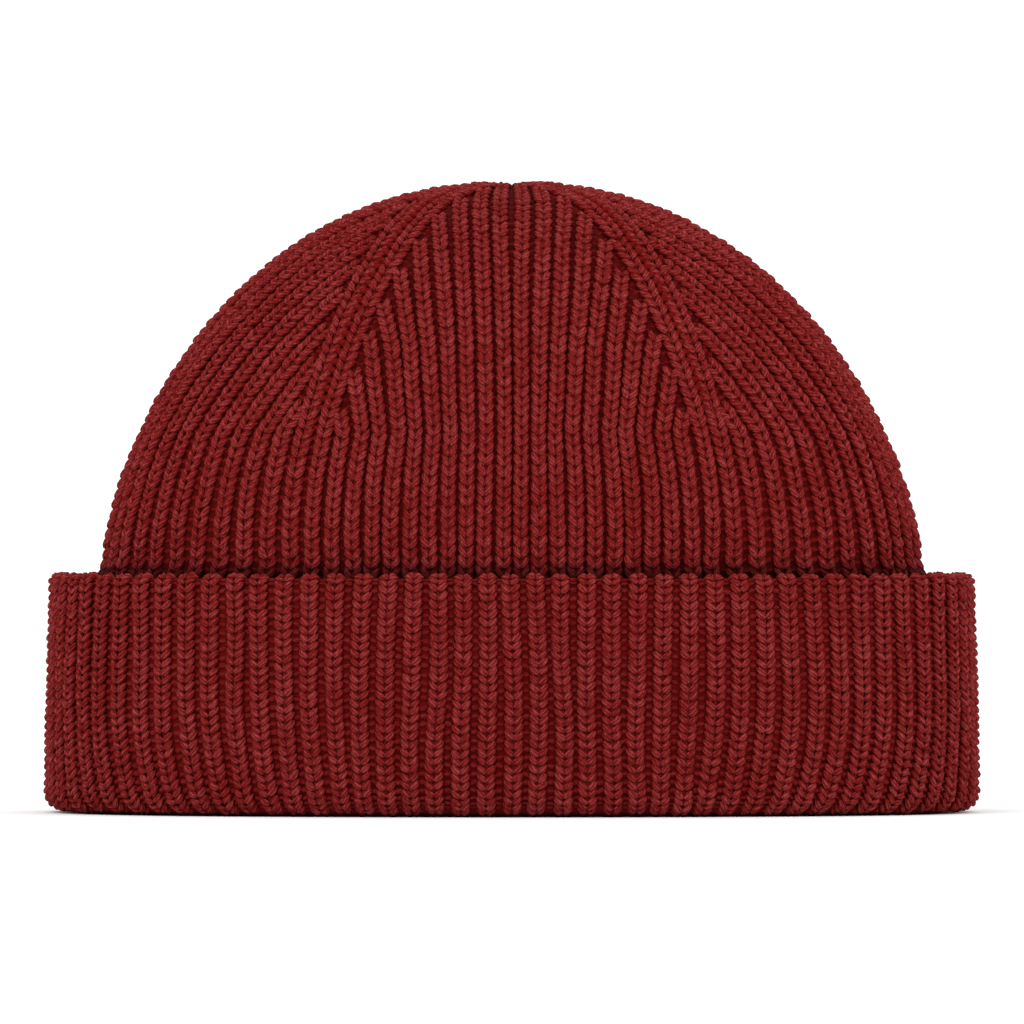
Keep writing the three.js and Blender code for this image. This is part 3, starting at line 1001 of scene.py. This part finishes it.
def yarn_material(name, shaded):
    """Matt brick-red yarn: plies that wind round each leg, loose fibres whose palest streaks are
    partly a painted sheen, and small changes of tone from stitch to stitch and over the cap. Painted
    shade darkens it the deeper it lies under the crests, and on the crown in the gap over the cuff's
    edge."""
    nodes = Nodes(name)
    uv = nodes.add("ShaderNodeUVMap", uv_map="yarn").outputs["UV"]
    place = nodes.add("ShaderNodeTexCoord").outputs["Object"]
    tone = nodes.add("ShaderNodeAttribute", attribute_name="tone").outputs["Fac"]
    plies = nodes.waves(nodes.stretched(uv, PLIES_STRETCH), "DIAGONAL", PLIES)
    fibres = nodes.noise(nodes.stretched(uv, FIBRES_STRETCH), FIBRES)
    patches = nodes.noise(place, PATCHES)
    mottle = nodes.noise(place, MOTTLE)
    total = nodes.math("MULTIPLY_ADD", tone, TONE_SHARE)
    total.node.inputs[2].default_value = TONE_SHIFT
    total = nodes.add_share(total, fibres, FIBRES_SHARE)
    total = nodes.add_share(total, plies, PLIES_SHARE)
    total = nodes.add_share(total, patches, PATCHES_SHARE)
    total = nodes.add_share(total, mottle, MOTTLE_SHARE)
    # The palest stop of this ramp is partly the fibres' own paler tone and partly a painted sheen on
    # them.
    colour = nodes.ramp(nodes.math("SUBTRACT", total, PATTERN_SHIFT), YARN_STOPS)
    # Painted shade: the deeper the yarn lies under the crests, the more its colour turns to a darker,
    # redder tone, as shade in the recesses.
    depth = nodes.add("ShaderNodeAttribute", attribute_name="depth").outputs["Fac"]
    recess_shaded = nodes.add("ShaderNodeMix", data_type="RGBA")
    recess_shaded.inputs["B"].default_value = (*YARN_RECESS_SHADE, 1)
    nodes.link(nodes.ramp(depth, RECESS_SHADE_STOPS), recess_shaded.inputs["Factor"])
    nodes.link(colour, recess_shaded.inputs["A"])
    finished = recess_shaded.outputs["Result"]
    if shaded:
        finished = shade_over_cuff(nodes, finished)
    nodes.link(finished, nodes.shader.inputs["Base Color"])
    relief = nodes.math("ADD", nodes.math("MULTIPLY", plies, PLIES_RELIEF), fibres)
    nodes.bump(relief, YARN_BUMP)
    return nodes.finish(YARN_SHINE)


def ground_material(name, stops, shaded):
    """The deeper fabric: the same yarn darkened as painted shade in the furrows, with the small loops of
    the purl side.
    """
    nodes = Nodes(name)
    uv = nodes.add("ShaderNodeUVMap", uv_map="yarn").outputs["UV"]
    place = nodes.add("ShaderNodeTexCoord").outputs["Object"]
    rows = nodes.waves(place, "Z", PURL_ROWS)
    fibres = nodes.noise(place, PURL_FIBRES)
    patches = nodes.noise(uv, PURL_PATCHES)
    total = nodes.math("MULTIPLY", rows, PURL_ROWS_SHARE)
    total = nodes.add_share(total, fibres, PURL_FIBRES_SHARE)
    total = nodes.add_share(total, patches, PURL_PATCHES_SHARE)
    # Painted shade: the ramp's colours are the yarn's red darkened for the furrows, more on the crown
    # than on the cuff.
    colour = nodes.ramp(total, stops)
    if shaded:
        colour = shade_over_cuff(nodes, colour)
    nodes.link(colour, nodes.shader.inputs["Base Color"])
    nodes.bump(total, GROUND_BUMP)
    return nodes.finish(GROUND_SHINE)


def floor_material():
    nodes = Nodes("pale_floor")
    nodes.shader.inputs["Base Color"].default_value = FLOOR_COLOUR
    return nodes.finish(FLOOR_SHINE)


def make_floor():
    bpy.ops.object.select_all(action="DESELECT")
    bpy.ops.mesh.primitive_plane_add(size=FLOOR_SIZE, location=(0, 0, 0))
    floor = bpy.context.object
    floor.name = "floor"
    floor.data.materials.append(floor_material())


def make_light(name, place, size, power):
    data = bpy.data.lights.new(name, "AREA")
    data.shape = "SQUARE"
    data.size = size
    data.energy = power
    light = bpy.data.objects.new(name, data)
    light.location = place
    direction = np.array(LIGHT_AIM) - np.array(place)
    light.rotation_euler = Vector(direction).to_track_quat("-Z", "Y").to_euler()
    bpy.context.scene.collection.objects.link(light)


def make_studio():
    scene = bpy.context.scene
    world = bpy.data.worlds.new("studio_air")
    world.use_nodes = True
    background = world.node_tree.nodes["Background"]
    background.inputs["Color"].default_value = AIR_COLOUR
    background.inputs["Strength"].default_value = AIR_STRENGTH
    scene.world = world
    scene.view_settings.view_transform = "Standard"
    scene.view_settings.look = "None"
    for light in LIGHTS:
        make_light(**light)


def make_camera():
    metres_per_pixel = 2 * CUFF_HALF_WIDTH / CAP_PIXELS
    data = bpy.data.cameras.new("camera")
    data.sensor_width = SENSOR
    data.lens = SENSOR * CAMERA_DISTANCE / (FRAME_PIXELS * metres_per_pixel)
    camera = bpy.data.objects.new("camera", data)
    camera.location = (0, -CAMERA_DISTANCE, FLOOR_TO_MIDDLE_PIXELS * metres_per_pixel)
    camera.rotation_euler = (math.pi / 2, 0, 0)
    data.clip_start = NEAREST_SEEN
    data.clip_end = FARTHEST_SEEN
    bpy.context.scene.collection.objects.link(camera)
    bpy.context.scene.camera = camera


def dress(pieces, material, node):
    """Gives pieces their material, the body that they ride on and the node that they replace."""
    for piece in pieces:
        piece.data.materials.clear()
        piece.data.materials.append(material)
        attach(piece, "root")
        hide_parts(node)


make_camera()
make_studio()
make_floor()

crown_leg = leg_template("crown_leg", CROWN_LEG)
cuff_leg = leg_template("cuff_leg", CUFF_LEG)
loop_form = template_from_sphere("furrow_loop", LOOP_SIDES, LOOP_RINGS, loop_shape)
core_form = template_from_sphere("rib_core", CORE_SIDES, CORE_RINGS, core_shape)
crown_yarn = yarn_material("crown_yarn", True)
cuff_yarn = yarn_material("cuff_yarn", False)
dress(crown_ribs(crown_leg, core_form), crown_yarn, "crown")
dress([crown_loops(loop_form)], crown_yarn, "crown")
dress([crown_ground()], ground_material("crown_fabric", CROWN_FABRIC_SHADED, True), "crown")
dress(cuff_ribs(cuff_leg, core_form, loop_form), cuff_yarn, "cuff")
dress([cuff_ground()], ground_material("cuff_fabric", CUFF_FABRIC_SHADED, False), "cuff")
